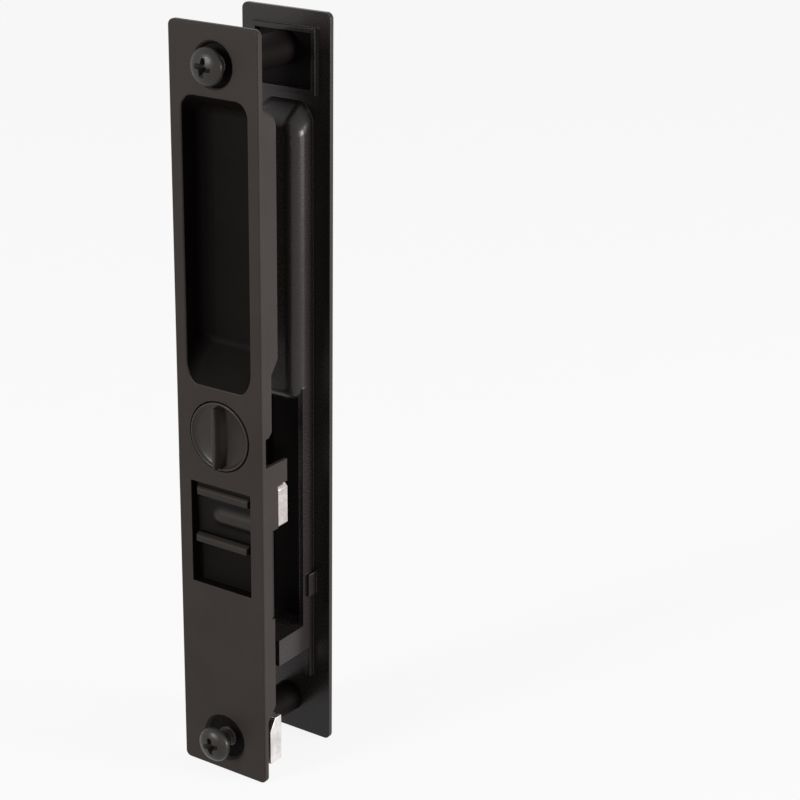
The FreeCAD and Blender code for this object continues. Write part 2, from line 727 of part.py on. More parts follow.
def latch_slider():
    body = new_body("latch_slider")
    back = POCKET + "-slider_gap"
    side = "(window_half_width-slider_clearance)"
    lip, groove = FACE + "+slider_lip", FACE + "+groove_depth"
    swell, pan = FACE + "+swell_depth", FACE + "+pan_depth"
    upper = SLIDER_TOP + "-upper_rib_margin-rib_width"
    lower = SLIDER_BOTTOM + "+lower_rib_margin"
    outline = [(back, SLIDER_TOP), (lip, SLIDER_TOP), (lip, upper), (groove, upper + "-groove_drop"),
               (swell, SLIDER_TOP + "-upper_rib_margin-swell_drop"),
               (pan, SLIDER_TOP + "-upper_rib_margin-pan_drop"), (pan, SLIDER_BOTTOM), (back, SLIDER_BOTTOM)]
    prism(body, "thumb_piece", "YZ", outline, "-" + side, side)
    # Two ribs for the thumb, the lower one higher out of the window
    rib_half = "(%s-rib_side_inset)" % side
    for name, crest, foot, bottom in (("upper_rib", FACE + "+upper_rib_inset", lip, upper),
                                      ("lower_rib", FACE + "-lower_rib_proud", pan, lower)):
        rib = [(foot, bottom), (crest, bottom), (crest, bottom + "+rib_width"),
               (foot, bottom + "+rib_width+rib_slope")]
        prism(body, name, "YZ", rib, "-" + rib_half, rib_half)
        front = value(crest)
        soften(body, name + "_edges", "rib_round", lambda edge: lies(edge, y=front))
    prism(body, "neck", "XZ", box_outline("-neck_half_width", "neck_half_width", NECK_BOTTOM, NECK_TOP),
          back, FLOOR + "+slide_play/2")
    for index, height in enumerate(stud_heights()):
        prism(body, "stud_%d" % index, "XZ", ("0", height, "stud_radius"), back, SLIDE_BACK + "+stud_proud")
    return body


def slide_plate():
    body = new_body("slide_plate")
    arm_right, arm_left = "-(cam_flat+cam_clearance)", "-(%s-arm_side_gap)" % CASE_INNER
    plate_top = "(%s+pin_radius+pin_margin)" % PIN_HEIGHT
    outline = [(arm_left, "slide_bottom"), (SLIDE_RIGHT, "slide_bottom"), (SLIDE_RIGHT, plate_top),
               (arm_right, plate_top), (arm_right, "arm_top"), (arm_left, "arm_top")]
    prism(body, "plate", "XZ", outline, SLIDE, SLIDE_BACK)
    corner = value("arm_top")
    soften(body, "arm_end", "arm_round", lambda edge: lies(edge, z=corner) and runs_back(edge))
    # Round bites that the cam fills in the upper and the lower position of the slider
    for name, rise in (("upper_bite", "0"), ("lower_bite", "slider_travel")):
        prism(body, name, "XZ", ("0", "turn_height+" + rise, "cam_radius+cam_clearance"),
              SLIDE, SLIDE_BACK, cut=True)
    # Detent notches for the leaf
    for name, rise in (("upper_notch", "0"), ("lower_notch", "slider_travel")):
        middle = "(notch_height+%s)" % rise
        mouth, spread = SLIDE_RIGHT + "+notch_over", "notch_width/2*(1+notch_over/notch_depth)"
        notch = [(mouth, middle + "-" + spread), (mouth, middle + "+" + spread),
                 (SLIDE_RIGHT + "-notch_depth", middle)]
        prism(body, name, "XZ", notch, SLIDE, SLIDE_BACK, cut=True)
    for index, height in enumerate(stud_heights()):
        prism(body, "stud_hole_%d" % index, "XZ", ("0", height, "stud_radius+stud_clearance"),
              SLIDE, SLIDE_BACK, cut=True)
    prism(body, "pin_hole", "XZ", (PIN_SIDE, PIN_HEIGHT, "pin_foot_radius+stud_clearance"),
          SLIDE, SLIDE_BACK, cut=True)
    return body


def drive_pin():
    body = new_body("drive_pin", (PIN_SIDE, "0", PIN_HEIGHT))
    prism(body, "foot", "XZ", ("0", "0", "pin_foot_radius"), SLIDE, SLIDE_BACK)
    prism(body, "pin", "XZ", ("0", "0", "pin_radius"), SLIDE_BACK, HOOK_BACK + "-pin_short")
    end = value(HOOK_BACK + "-pin_short")
    soften(body, "pin_end", "pin_short", lambda edge: lies(edge, y=end), chamfer=True)
    return body


# Cover of the case

def case_cover():
    body = new_body("case_cover")
    inner = "(%s-cover_side_play)" % CASE_INNER
    outer = "(%s-cover_edge)" % CASE_HALF
    shoulder = "(rail_bottom-cover_edge)"
    outline = [("-" + outer, "cover_bottom"), (outer, "cover_bottom"), (outer, shoulder), (inner, shoulder),
               (inner, "cover_top"), ("-" + inner, "cover_top"),
               ("-" + inner, shoulder), ("-" + outer, shoulder)]
    prism(body, "plate", "XZ", outline, COVER, COVER_BACK)
    around = "(pin_radius+slider_clearance)"
    slot = box_outline(PIN_SIDE + "-" + around, PIN_SIDE + "+" + around,
                       PIN_HEIGHT + "-slider_travel-" + around, PIN_HEIGHT + "+" + around)
    prism(body, "pin_slot", "XZ", slot, COVER, COVER_BACK, cut=True)
    prism(body, "rivet_hole", "XZ", (PIVOT_SIDE, "pivot_height", "rivet_radius+stud_clearance"),
          COVER, COVER_BACK, cut=True)
    for name, across, up in cover_screw_places():
        prism(body, name + "_hole", "XZ", (across, up, "cover_screw_radius+cover_screw_clearance"),
              COVER, COVER_BACK, cut=True)
    return body


# Hook and what it turns on

def hook_pivot():
    body = new_body("hook_pivot", (PIVOT_SIDE, "0", "pivot_height"))
    drum_back, journal_back = HOOK + "-drum_short", HOOK_BACK + "+journal_proud"
    prism(body, "rivet", "XZ", ("0", "0", "rivet_radius"), COVER + "+rivet_play", COVER_BACK)
    prism(body, "drum", "XZ", ("0", "0", "drum_radius"), COVER_BACK, drum_back)
    prism(body, "journal", "XZ", ("0", "0", "hook_hole_radius-journal_clearance"), drum_back, journal_back)
    prism(body, "thread", "XZ", ("0", "0", "hook_screw_radius+thread_clearance"),
          journal_back + "-hook_screw_depth-thread_spare", journal_back, cut=True)
    return body


def latch_hook():
    # The hook lies across the door, its beak up and its short end to the right of the pivot.
    body = new_body("latch_hook", (PIVOT_SIDE, "0", "pivot_height"))
    top, bottom, tab = "hook_half_width", "-hook_half_width", "hook_tab_width/2"
    throat_floor = "hook_half_width-hook_throat_depth"
    beak_left, beak_right = "-hook_reach", "-(hook_reach-hook_beak_width)"
    throat_right = beak_right + "+hook_throat"
    outline = [("-" + tab, bottom + "-hook_tab_drop"), (tab, bottom + "-hook_tab_drop"), (tab, bottom),
               ("hook_rear-hook_rear_chamfer", bottom), ("hook_rear", bottom + "+hook_rear_chamfer"),
               ("hook_rear", top + "-hook_rear_chamfer"), ("hook_rear-hook_rear_chamfer", top),
               (throat_right, top), (throat_right, throat_floor), (beak_right, throat_floor),
               (beak_right, "hook_beak-hook_beak_chamfer"), (beak_right + "-hook_beak_chamfer", "hook_beak"),
               (beak_left + "+hook_tip_round", "hook_beak"), (beak_left, "hook_beak-hook_tip_drop"),
               (beak_left, bottom + "+hook_nose_chamfer"), (beak_left + "+hook_nose_chamfer", bottom),
               ("-" + tab, bottom)]
    prism(body, "blade", "XZ", outline, HOOK, HOOK_BACK)
    prism(body, "hole", "XZ", ("0", "0", "hook_hole_radius"), HOOK, HOOK_BACK, cut=True)
    floor, sides = value(throat_floor), (value(throat_right), value(beak_right))
    soften(body, "throat", "hook_throat_round",
           lambda edge: any(lies(edge, x=across, z=floor) for across in sides))
    return body


def hook_spring():
    # A torsion spring round the drum: its coil and its two straight legs are one swept wire.
    spring = doc.addObject("Part::Feature", "hook_spring")
    spring.Label = "hook_spring"
    radius = value("drum_radius+spring_gap+spring_wire")
    pitch, turns, leg = value("spring_pitch"), value("spring_turns"), value("spring_leg")
    coil = Part.makeHelix(pitch, pitch * turns, radius)
    start, end = coil.Edges[0].firstVertex().Point, coil.Edges[-1].lastVertex().Point
    run_in = Vector(0, -leg, 0)
    run_out = FreeCAD.Rotation(Vector(0, 0, 1), 360 * turns).multVec(Vector(0, leg, 0))
    path = Part.Wire([Part.makeLine(start + run_in, start)] + coil.Edges
                     + [Part.makeLine(end, end + run_out)])
    section = Part.Wire(Part.makeCircle(value("spring_wire"), start + run_in, Vector(0, 1, 0)))
    spring.Shape = path.makePipeShell([section], True, True)
    spring.Placement = FreeCAD.Placement(
        Vector(value(PIVOT_SIDE), value(COVER_BACK + "+spring_wire+spring_play"), value("pivot_height")),
        FreeCAD.Rotation(Vector(1, 0, 0), -90))
    parts.append(spring)


def detent_leaf():
    # A spring leaf looped round the lower cover boss, with a bump beside the slide plate's notches.
    body = new_body("detent_leaf")
    near, far = SLIDE + "+leaf_play", SLIDE_BACK + "-leaf_play"
    loop = "(cover_boss_radius+leaf_play)"
    left = "(%s-%s-leaf_thickness)" % (BOSS_SIDE, loop)
    prism(body, "loop", "XZ", (BOSS_SIDE, "cover_boss_low", loop + "+leaf_thickness"), near, far)
    bump, tip = "notch_height", SLIDE_RIGHT + "+leaf_play"
    start, top = "slide_bottom-slider_travel-leaf_start_drop", bump + "+notch_width+leaf_end_rise"
    strip_left, strip_right = SLIDE_RIGHT + "+leaf_gap", SLIDE_RIGHT + "+leaf_gap+leaf_thickness"
    outline = [(left, "cover_boss_low"), (left + "+leaf_thickness", "cover_boss_low"),
               (strip_right, start), (strip_right, bump + "-notch_width/2"),
               (tip + "+leaf_thickness", bump), (strip_right, bump + "+notch_width/2"), (strip_right, top),
               (strip_left, top), (strip_left, bump + "+notch_width/2"), (tip, bump),
               (strip_left, bump + "-notch_width/2"), (strip_left, start)]
    prism(body, "leaf", "XZ", outline, near, far)
    prism(body, "eye", "XZ", (BOSS_SIDE, "cover_boss_low", loop), near, far, cut=True)
    return body


def screw_spacer():
    # A plated block on the lower screw, its room-side top edge sloped off.
    body = new_body("screw_spacer", ("0", INNER + "+spacer_front", BOTTOM_SCREW))
    half = "spacer_height/2"
    outline = [("0", "-" + half), ("spacer_depth", "-" + half), ("spacer_depth", half),
               ("spacer_slope_depth", half), ("0", half + "-spacer_slope_height")]
    prism(body, "block", "YZ", outline, "-spacer_half_width", "spacer_half_width")
    prism(body, "bore", "XZ", ("0", "0", "screw_radius+spacer_bore_clearance"), "0", "spacer_depth", cut=True)
    return body


def build():
    inside_plate()
    outside_plate()
    clamp_screw("top_screw", TOP_SCREW, "top_standoff")
    clamp_screw("bottom_screw", BOTTOM_SCREW, "bottom_standoff")
    screw_spacer()
    thumb_turn()
    ring("turn_washer", ("0", "0", "turn_height"), "turn_washer_radius", "turn_shaft_radius+turn_clearance",
         TURN_BACK + "+turn_washer_play/2", POCKET + "-turn_washer_play/2")
    lock_cam()
    ring("cam_washer", ("0", "0", "turn_height"), "cam_washer_radius", "cam_screw_radius+washer_clearance",
         SLIDE_BACK, SLIDE_BACK + "+cam_washer_thickness")
    small_screw("cam_screw", ("0", SLIDE_BACK + "+cam_washer_thickness", "turn_height"),
                "cam_screw_head_radius", "cam_screw_head_height", "cam_screw_radius", "cam_screw_depth")
    latch_slider()
    slide_plate()
    drive_pin()
    detent_leaf()
    case_cover()
    for name, across, up in cover_screw_places():
        small_screw(name, (across, COVER_BACK, up), "cover_screw_head_radius", "cover_screw_head_height",
                    "cover_screw_radius", "cover_thickness+cover_screw_depth-thread_spare")
    hook_pivot()
    latch_hook()
    hook_spring()
    washer_front = HOOK_BACK + "+journal_proud"
    washer_back = washer_front + "+hook_washer_thickness"
    ring("hook_washer", (PIVOT_SIDE, "0", "pivot_height"), "hook_washer_radius",
         "hook_screw_radius+washer_clearance", washer_front, washer_back)
    small_screw("hook_screw", (PIVOT_SIDE, washer_back, "pivot_height"), "hook_screw_head_radius",
                "hook_screw_head_height", "hook_screw_radius", "hook_screw_depth")


def check_and_write():
    doc.recompute()
    for thing in doc.Objects:
        if "Invalid" in thing.State or "Error" in thing.State:
            raise RuntimeError("%s failed: %s" % (thing.Label, thing.State))
    os.makedirs("parts", exist_ok=True)
    for part in parts:
        if part.Shape.isNull() or not part.Shape.isValid():
            raise RuntimeError(part.Label + " has no sound shape")
        part.Shape.exportStep("parts/%s.step" % part.Label)
        print("%-16s %8.1f mm3" % (part.Label, part.Shape.Volume))


build()
check_and_write()
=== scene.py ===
import json
import math

import bmesh
import bpy
from mathutils import Matrix, Quaternion, Vector

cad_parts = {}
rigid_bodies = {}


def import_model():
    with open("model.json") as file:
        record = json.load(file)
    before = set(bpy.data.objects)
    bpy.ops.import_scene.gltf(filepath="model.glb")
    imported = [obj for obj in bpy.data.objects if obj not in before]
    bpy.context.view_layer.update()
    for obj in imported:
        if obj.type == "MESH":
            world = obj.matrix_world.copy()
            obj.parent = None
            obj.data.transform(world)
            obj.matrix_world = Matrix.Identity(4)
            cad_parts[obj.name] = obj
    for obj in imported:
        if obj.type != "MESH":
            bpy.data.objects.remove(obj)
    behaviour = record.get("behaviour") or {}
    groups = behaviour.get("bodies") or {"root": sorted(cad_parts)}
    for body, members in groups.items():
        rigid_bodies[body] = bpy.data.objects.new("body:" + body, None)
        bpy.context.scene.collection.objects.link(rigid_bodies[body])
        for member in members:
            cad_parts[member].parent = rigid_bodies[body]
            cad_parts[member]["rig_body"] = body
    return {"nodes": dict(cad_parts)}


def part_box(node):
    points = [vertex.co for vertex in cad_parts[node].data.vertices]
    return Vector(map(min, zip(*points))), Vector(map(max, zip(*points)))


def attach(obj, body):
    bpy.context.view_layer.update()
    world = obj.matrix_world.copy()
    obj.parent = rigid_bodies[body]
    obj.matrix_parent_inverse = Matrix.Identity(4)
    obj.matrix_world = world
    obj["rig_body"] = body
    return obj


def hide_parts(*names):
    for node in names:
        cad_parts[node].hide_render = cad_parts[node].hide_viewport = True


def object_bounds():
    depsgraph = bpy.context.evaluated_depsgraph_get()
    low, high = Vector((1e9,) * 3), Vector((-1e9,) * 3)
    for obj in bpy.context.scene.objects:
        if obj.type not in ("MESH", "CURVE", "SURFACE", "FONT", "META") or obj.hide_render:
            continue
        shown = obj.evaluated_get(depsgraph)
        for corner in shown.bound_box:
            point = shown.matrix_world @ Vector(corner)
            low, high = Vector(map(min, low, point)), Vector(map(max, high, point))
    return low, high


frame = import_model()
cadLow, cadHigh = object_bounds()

print("frame loaded:", len(frame["nodes"]), "nodes")
mm = 0.001
tiny = 0.001 * mm                                # what counts as the same place
smoothAngle = 35                                 # degrees under which faces blend
nodes = frame["nodes"]
slotOf = {name: node.material_slots[0].material.name for name, node in nodes.items()}
bodyOf = {name: node["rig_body"] for name, node in nodes.items()}

# Places that the pieces share, read from the carried pieces
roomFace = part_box("inside_plate")[0].y           # the face that the room sees
turnMiddle = sum(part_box("thumb_turn"), Vector()) / 2
sliderLow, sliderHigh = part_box("latch_slider")


# Tools for new shapes

def newPiece(name, bm, node, material):
    # Turns a bmesh into a piece that stands for a carried one
    mesh = bpy.data.meshes.new(name)
    bm.to_mesh(mesh)
    bm.free()
    piece = bpy.data.objects.new(name, mesh)
    bpy.context.scene.collection.objects.link(piece)
    mesh.shade_smooth()
    mesh.set_sharp_from_angle(angle=math.radians(smoothAngle))
    mesh.materials.append(material)
    level = piece.modifiers.new("flat faces stay flat", "WEIGHTED_NORMAL")
    level.keep_sharp = True
    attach(piece, bodyOf[node])
    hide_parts(node)


def closeUp(bm):
    # Joins the seams of a shape and turns its faces outwards
    bmesh.ops.remove_doubles(bm, verts=bm.verts, dist=tiny)
    bmesh.ops.recalc_face_normals(bm, faces=bm.faces)


def spinProfile(bm, points, steps):
    # Turns a chain of (radius, along) points about the Y axis into a round shape
    ring = [bm.verts.new((radius, along, 0)) for radius, along in points]
    edges = [bm.edges.new(pair) for pair in zip(ring, ring[1:])]
    bmesh.ops.spin(bm, geom=ring + edges, cent=(0, 0, 0), axis=(0, 1, 0), angle=math.tau,
                   steps=steps, use_merge=True)
    closeUp(bm)


def roundEdges(bm, edges, width, segments=2):
    bmesh.ops.bevel(bm, geom=edges, offset=width, affect="EDGES", segments=segments, profile=0.5,
                    material=-1, clamp_overlap=False)


def boxShell(bm, low, high):
    # Adds a closed box between two corners
    for vert in bmesh.ops.create_cube(bm, size=1)["verts"]:
        vert.co = Vector([low[axis] if vert.co[axis] < 0 else high[axis] for axis in range(3)])


def joinInto(bm, other):
    mesh = bpy.data.meshes.new("joining")
    other.to_mesh(mesh)
    other.free()
    bm.from_mesh(mesh)
    bpy.data.meshes.remove(mesh)


def subtract(bm, cutter):
    # Cuts one bmesh out of another with a boolean and gives the result as a new bmesh
    pair = []
    for part in (bm, cutter):
        bmesh.ops.recalc_face_normals(part, faces=part.faces)
        mesh = bpy.data.meshes.new("cutting")
        part.to_mesh(mesh)
        part.free()
        thing = bpy.data.objects.new("cutting", mesh)
        bpy.context.scene.collection.objects.link(thing)
        pair.append(thing)
    cut = pair[0].modifiers.new("cut", "BOOLEAN")
    cut.operation, cut.object, cut.solver = "DIFFERENCE", pair[1], "EXACT"
    graph = bpy.context.evaluated_depsgraph_get()
    result = bmesh.new()
    result.from_mesh(pair[0].evaluated_get(graph).data)
    for thing in pair:
        bpy.data.objects.remove(thing)
    return result


# Materials

def newMaterial(name):
    material = bpy.data.materials.new(name)
    material.use_nodes = True
    tree = material.node_tree
    return material, tree, tree.nodes["Principled BSDF"]


def addNoise(tree, scale, detail, roughness=0.5, stretch=(1, 1, 1)):
    # Noise on the object's own coordinates, in cycles per metre
    place = tree.nodes.new("ShaderNodeTexCoord")
    lay = tree.nodes.new("ShaderNodeMapping")
    lay.inputs["Scale"].default_value = stretch
    noise = tree.nodes.new("ShaderNodeTexNoise")
    noise.inputs["Scale"].default_value = scale
    noise.inputs["Detail"].default_value = detail
    noise.inputs["Roughness"].default_value = roughness
    tree.links.new(place.outputs["Object"], lay.inputs["Vector"])
    tree.links.new(lay.outputs["Vector"], noise.inputs["Vector"])
    return noise.outputs["Fac"]


noiseLow, noiseHigh = 0.35, 0.65      # most of a noise lies between these


def addRange(tree, source, low, high, fromLow=noiseLow, fromHigh=noiseHigh):
    spread = tree.nodes.new("ShaderNodeMapRange")
    spread.inputs["From Min"].default_value = fromLow
    spread.inputs["From Max"].default_value = fromHigh
    spread.inputs["To Min"].default_value = low
    spread.inputs["To Max"].default_value = high
    tree.links.new(source, spread.inputs["Value"])
    return spread.outputs["Result"]


def addColours(tree, source, dark, light):
    ramp = tree.nodes.new("ShaderNodeValToRGB")
    ramp.color_ramp.elements[0].position = noiseLow
    ramp.color_ramp.elements[0].color = (*dark, 1)
    ramp.color_ramp.elements[1].position = noiseHigh
    ramp.color_ramp.elements[1].color = (*light, 1)
    tree.links.new(source, ramp.inputs["Fac"])
    return ramp.outputs["Color"]


def mixColours(tree, share, first, second):
    mix = tree.nodes.new("ShaderNodeMix")
    mix.data_type = "RGBA"
    tree.links.new(share, mix.inputs["Factor"])
    for socket, colour in ((mix.inputs[6], first), (mix.inputs[7], second)):    # the two colour sockets
        if isinstance(colour, tuple):
            socket.default_value = (*colour, 1)
        else:
            tree.links.new(colour, socket)
    return mix.outputs[2]


def addBump(tree, shader, heights):
    # Stacks bumps, each given as (source, distance in metres)
    last = None
    for source, distance in heights:
        bump = tree.nodes.new("ShaderNodeBump")
        bump.inputs["Distance"].default_value = distance
        tree.links.new(source, bump.inputs["Height"])
        if last:
            tree.links.new(last, bump.inputs["Normal"])
        last = bump.outputs["Normal"]
    tree.links.new(last, shader.inputs["Normal"])


paintLook = {
    "cloud": {"scale": 70, "detail": 4},                        # soft clouds in the paint
    "peel": {"scale": 2200, "detail": 2},                       # orange peel of the paint film
    "peelHeight": 0.008 * mm,
    "grain": {"scale": 8000, "detail": 4, "roughness": 0.7},    # fine satin grain
    "grainHeight": 0.003 * mm,
    "dust": {"scale": 5200, "detail": 1},                       # sparse pale dust
    "dustFrom": 0.69,         # the share of the noise where dust begins
    "dustTo": 0.76,
    "dustShare": 0.25,        # how strongly the dust covers the paint
    "dustPaleness": 3,        # how many times paler it is than the paint
}

# Each paint: dark and light colour, lowest and highest roughness, specular level,
# strength of the peel and of the grain
paints = {
    "inside paint": ((0.0290, 0.0228, 0.0200), (0.0335, 0.0268, 0.0238), 0.42, 0.50, 0.13, 1.0, 1.0),
    # painted shade: a near-black colour for the hollows of both plates, standing in for the shade there
    "painted recess shade": ((0.0030, 0.0018, 0.0016), (0.0042, 0.0028, 0.0025), 0.55, 0.65, 0.06, 0.8, 0.6),
    "outside paint": ((0.0200, 0.0164, 0.0150), (0.0240, 0.0198, 0.0182), 0.23, 0.31, 0.28, 0.7, 0.4),
    "turn paint": ((0.0265, 0.0220, 0.0190), (0.0310, 0.0262, 0.0228), 0.28, 0.36, 0.24, 0.8, 0.8),
    "slider paint": ((0.0300, 0.0250, 0.0215), (0.0350, 0.0295, 0.0255), 0.36, 0.44, 0.08, 0.8, 1.0),
    "screw black": ((0.0260, 0.0225, 0.0200), (0.0360, 0.0315, 0.0285), 0.28, 0.38, 0.22, 0.8, 0.6),
    "cover black": ((0.0105, 0.0086, 0.0078), (0.0140, 0.0116, 0.0105), 0.36, 0.46, 0.15, 0.9, 0.9),
}
paintedHollowShade = {               # painted shade: the slider's colour is darkened in its hollows
    "from": 1.02 * mm,        # depths below the room face
    "to": 1.38 * mm,
    "colour": (0.0022, 0.0015, 0.0012),
}


def addPaintedHollowShade(tree, base):
    # Painted shade: darkens a colour below a depth behind the room face, standing in for the shade in the
    # slider's hollows
    look = paintedHollowShade
    place = tree.nodes.new("ShaderNodeTexCoord")
    parts = tree.nodes.new("ShaderNodeSeparateXYZ")
    tree.links.new(place.outputs["Object"], parts.inputs[0])
    share = addRange(tree, parts.outputs["Y"], 0, 1, roomFace + look["from"], roomFace + look["to"])
    return mixColours(tree, share, base, look["colour"])


def paintedMetal(name):
    dark, light, roughLow, roughHigh, specular, peel, grain = paints[name]
    material, tree, shader = newMaterial(name)
    look = paintLook
    cloud = addNoise(tree, **look["cloud"])
    film = addNoise(tree, **look["peel"])
    fine = addNoise(tree, **look["grain"])
    dust = addRange(tree, addNoise(tree, **look["dust"]), 0, look["dustShare"],
                    look["dustFrom"], look["dustTo"])
    base = addColours(tree, cloud, dark, light)
    dusty = tuple(look["dustPaleness"] * part for part in light)
    # the slider's colour gets painted shade in its hollows
    if name == "slider paint":
        base = addPaintedHollowShade(tree, base)
    tree.links.new(mixColours(tree, dust, base, dusty), shader.inputs["Base Color"])
    tree.links.new(addRange(tree, film, roughLow, roughHigh), shader.inputs["Roughness"])
    addBump(tree, shader, [(film, look["peelHeight"] * peel), (fine, look["grainHeight"] * grain)])
    shader.inputs["Specular IOR Level"].default_value = specular
    return material


metalLook = {
    "spangle": {"scale": 420, "detail": 3},                     # spangle of the plating
    "scratch": {"scale": 1800, "detail": 3, "roughness": 0.6},
    "scratchStretch": 0.07,   # scratches are long along one axis
    "scratchHeight": 0.004 * mm,
}

# Each plated metal: dark and light colour, lowest and highest roughness,
# and the axis along which it is scratched
platings = {
    "zinc plate": ((0.62, 0.59, 0.58), (0.80, 0.77, 0.76), 0.26, 0.40, 2),
    "bright hook plating": ((0.50, 0.46, 0.45), (0.64, 0.59, 0.58), 0.24, 0.36, 0),
    "spring steel": ((0.34, 0.33, 0.32), (0.48, 0.47, 0.45), 0.20, 0.30, 1),
}


def platedMetal(name):
    dark, light, roughLow, roughHigh, axis = platings[name]
    material, tree, shader = newMaterial(name)
    look = metalLook
    spangle = addNoise(tree, **look["spangle"])
    stretch = [1, 1, 1]
    stretch[axis] = look["scratchStretch"]
    scratch = addNoise(tree, **look["scratch"], stretch=stretch)
    tree.links.new(addColours(tree, spangle, dark, light), shader.inputs["Base Color"])
    tree.links.new(addRange(tree, scratch, roughLow, roughHigh), shader.inputs["Roughness"])
    addBump(tree, shader, [(scratch, look["scratchHeight"])])
    shader.inputs["Metallic"].default_value = 1.0
    return material


# painted shade for the hollows, seats and posts of both plates
recessShadePaint = paintedMetal("painted recess shade")
finishes = {
    "inside_finish": paintedMetal("inside paint"),
    "outside_finish": paintedMetal("outside paint"),
    "turn_finish": paintedMetal("turn paint"),
    "slider_finish": paintedMetal("slider paint"),
    "screw_black": paintedMetal("screw black"),
    "cover_black": paintedMetal("cover black"),
    "zinc_plate": platedMetal("zinc plate"),
    "hook_zinc": platedMetal("bright hook plating"),
    "spring_steel": platedMetal("spring steel"),
}
for node in nodes.values():
    for socket in node.material_slots:
        socket.material = finishes[socket.material.name]
print("materials made and given to the carried pieces")


# Cast, stamped and cut pieces: the same solids with their sharp edges broken

edgeBreak = {             # how far each piece's sharp edges are rounded, in millimetres
    "inside_plate": 0.12,
    "outside_plate": 0.14,
    "case_cover": 0.10,
    "slide_plate": 0.08,
    "latch_hook": 0.16,
    "screw_spacer": 0.16,
    "lock_cam": 0.06,
    "hook_pivot": 0.06,
    "hook_washer": 0.08,
    "cam_washer": 0.06,
    "cam_screw": 0.03,
    "hook_screw": 0.03,
    "high_cover_screw": 0.03,
    "right_cover_screw": 0.03,
    "left_cover_screw": 0.03,
}

copying = {
    "merge": 0.0005 * mm,
    "flat": 0.6,              # degrees under which faces count as one plane
    "sharp": 34,              # degrees over which an edge counts as sharp
}


def mergedCopy(node):
    bm = bmesh.new()
    bm.from_mesh(nodes[node].data)
    bmesh.ops.remove_doubles(bm, verts=bm.verts, dist=copying["merge"])
    bmesh.ops.dissolve_limit(bm, angle_limit=math.radians(copying["flat"]), verts=bm.verts, edges=bm.edges)
    return bm


def sharpEdges(bm):
    limit = math.radians(copying["sharp"])
    return [edge for edge in bm.edges if edge.is_manifold and edge.calc_face_angle() > limit]


def breakEdges(node, width):
    bm = mergedCopy(node)
    roundEdges(bm, sharpEdges(bm), width * mm)
    newPiece(node + "_finished", bm, node, finishes[slotOf[node]])


for node, width in edgeBreak.items():
    breakEdges(node, width)
print("edges broken on", len(edgeBreak), "pieces")

# Painted shade: faces in the hollows of both plates, in the screw seats and on the posts between the plates
# get a near-black colour that stands in for the shade falling there.
# Each hollow is a box in millimetres: x from and to, y from and to, z from and to

insideHollows = {
    "cup": (-9.35, 9.35, -14.1, -7.1, 6.5, 78.3),
    "window": (-8.93, 8.93, -14.1, -11.35, -43.4, -16.7),
    "turnSeat": (-8.83, 8.83, -14.1, -11.35, -12.63, 5.03),
    "topSeat": (-5.4, 5.4, -14.1, -13.0, 78.7, 89.6),
    "bottomSeat": (-6.0, 6.0, -14.1, -13.0, -90.2, -78.1),
}
outsideHollows = {
    "frameFloor": (-6.4, 6.4, 12.4, 12.9, -60.5, -1.0),
    "rimFloor": (-8.0, 8.0, 12.4, 12.9, 75.1, 88.3),
    "topPost": (-4.3, 4.3, -12.0, 12.9, 79.9, 88.4),
    "bottomPost": (-4.3, 4.3, -12.0, 12.9, -88.4, -79.9),
}


def isInside(spot, box):
    return all(box[2 * axis] < spot[axis] / mm < box[2 * axis + 1] for axis in range(3))


def paintShadeInHollows(name, boxes):
    # Gives the faces inside the boxes the painted shade colour
    mesh = bpy.data.objects[name].data
    shadeIndex = len(mesh.materials)
    mesh.materials.append(recessShadePaint)
    for polygon in mesh.polygons:
        corners = [mesh.vertices[index].co for index in polygon.vertices]
        for box in boxes.values():
            if all(isInside(corner, box) for corner in corners):
                polygon.material_index = shadeIndex


paintShadeInHollows("inside_plate_finished", insideHollows)
paintShadeInHollows("outside_plate_finished", outsideHollows)
print("hollows of both plates painted")


# The two clamping screws: pan head with a cross recess, and a rolled thread

clampScrew = {
    "headRadius": 4.4 * mm,
    "headHeight": 2.6 * mm,
    "sideHeight": 0.75 * mm,
    "sideRound": 0.25 * mm,
    "domeSteps": 12,
    "recessLength": 5.1 * mm,
    "recessWidth": 1.15 * mm,
    "recessDepth": 1.9 * mm,
    "recessTaper": 0.34,      # how small the recess is at its bottom
    "recessFlare": 1.12,      # how wide it is above the head
    "recessOver": 0.4 * mm,
    "wingTip": (0.985, 0.6),  # corner of a wing's end, as shares of half the length and half the width
    "wingSide": 0.94,         # where a wing is at its full width, as a share of half the length
    "wingRoot": 0.78,         # where two wings meet, as a share of the width
    "threadRadius": 2.38 * mm,
    "rootRadius": 1.92 * mm,
    "pitch": 1.06 * mm,
    "shankLength": 25.4 * mm,
    "tip": 0.6 * mm,
    "tipSlope": 1.3,          # how deep the tip's cone goes at its end, in depths of the thread
    "sunk": 0.1 * mm,         # how far the shank goes into the head
    "spareTurns": 2,          # turns of the thread that the square cuts take off
    "stepsPerTurn": 36,
    "headSteps": 96,
    "threadForm": (           # one pitch of the thread: which radius, and where along the pitch
        ("rootRadius", 0.0), ("rootRadius", 0.12), ("threadRadius", 0.46),
        ("threadRadius", 0.58), ("rootRadius", 0.92), ("rootRadius", 1.0)),
    "turned": {"top_screw": 8, "bottom_screw": -12},   # how the cross stands, in degrees
}


